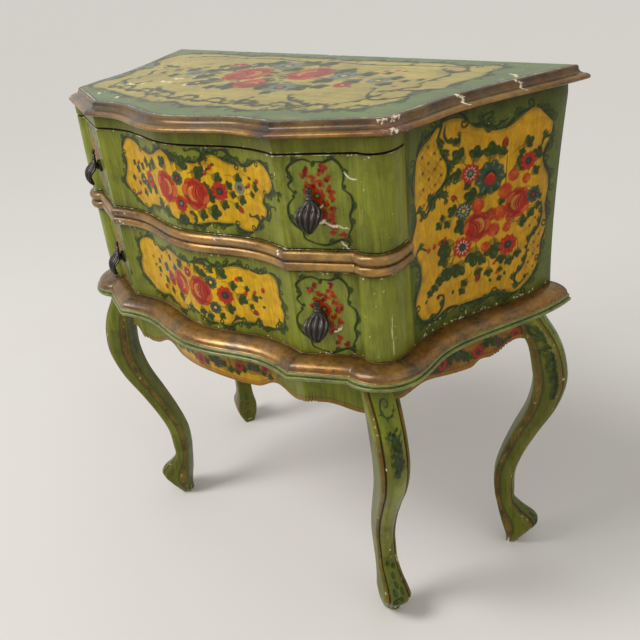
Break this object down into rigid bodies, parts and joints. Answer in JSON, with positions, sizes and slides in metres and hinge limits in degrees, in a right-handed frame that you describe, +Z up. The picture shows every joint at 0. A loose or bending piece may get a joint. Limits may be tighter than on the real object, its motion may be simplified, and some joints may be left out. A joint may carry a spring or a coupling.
{
  "type": "chest of drawers",
  "caption": "Small serpentine chest of drawers on cabriole legs, with a swelling painted case, mitred gilt mouldings and cast finger pulls.",
  "frame": {"origin": "middle of the whole chest's footprint, on the floor", "axes": "+X to the right of someone who faces the front, -Y out of the front, +Z up"},
  "size_m": [0.8586, 0.407, 0.8],
  "materials": {
    "top_paint": "painted pale yellow and grey green, varnished",
    "green_paint": "painted olive green, varnished",
    "side_paint": "painted ochre with a green border, varnished",
    "apron_paint": "painted ochre and green, varnished",
    "gilt": "old gilding, rubbed and darkened",
    "bronze": "cast, darkened nearly to black",
    "bare_wood": "unpainted, aged",
    "iron": "plain, dull"
  },
  "bodies": {
    "case": {"front_left_leg": "green_paint", "front_right_leg": "green_paint", "rear_left_leg": "green_paint", "rear_right_leg": "green_paint", "front_left_corner_block": "bare_wood", "front_right_corner_block": "bare_wood", "rear_left_corner_block": "bare_wood", "rear_right_corner_block": "bare_wood", "apron_front": "apron_paint", "apron_left": "apron_paint", "apron_right": "apron_paint", "apron_back": "bare_wood", "top_board": "top_paint", "base_board": "bare_wood", "left_side_panel": "side_paint", "right_side_panel": "side_paint", "back_panel": "bare_wood", "top_rail": "green_paint", "middle_rail": "green_paint", "lower_left_runner": "bare_wood", "lower_right_runner": "bare_wood", "upper_left_runner": "bare_wood", "upper_right_runner": "bare_wood", "base_moulding_centre": "gilt", "base_moulding_left_wing": "gilt", "base_moulding_right_wing": "gilt", "base_moulding_left_side": "gilt", "base_moulding_right_side": "gilt", "middle_moulding_centre": "gilt", "middle_moulding_left_wing": "gilt", "middle_moulding_right_wing": "gilt", "top_moulding_centre": "gilt", "top_moulding_left_wing": "gilt", "top_moulding_right_wing": "gilt", "top_moulding_left_side": "gilt", "top_moulding_right_side": "gilt"},
    "lower_drawer": {"lower_front": "green_paint", "lower_left_drawer_side": "bare_wood", "lower_right_drawer_side": "bare_wood", "lower_drawer_bottom": "bare_wood", "lower_drawer_back": "bare_wood", "lower_left_pull": "bronze", "lower_right_pull": "bronze", "lower_left_pull_bolt": "iron", "lower_right_pull_bolt": "iron"},
    "upper_drawer": {"upper_front": "green_paint", "upper_left_drawer_side": "bare_wood", "upper_right_drawer_side": "bare_wood", "upper_drawer_bottom": "bare_wood", "upper_drawer_back": "bare_wood", "upper_left_pull": "bronze", "upper_right_pull": "bronze", "upper_left_pull_bolt": "iron", "upper_right_pull_bolt": "iron"}
  },
  "joints": [
    {"name": "lower_drawer_slide", "type": "slide", "parent": "case", "child": "lower_drawer", "axis": [0, -1, 0], "range_m": [0, 0.21]},
    {"name": "upper_drawer_slide", "type": "slide", "parent": "case", "child": "upper_drawer", "axis": [0, -1, 0], "range_m": [0, 0.21]}
  ]
}
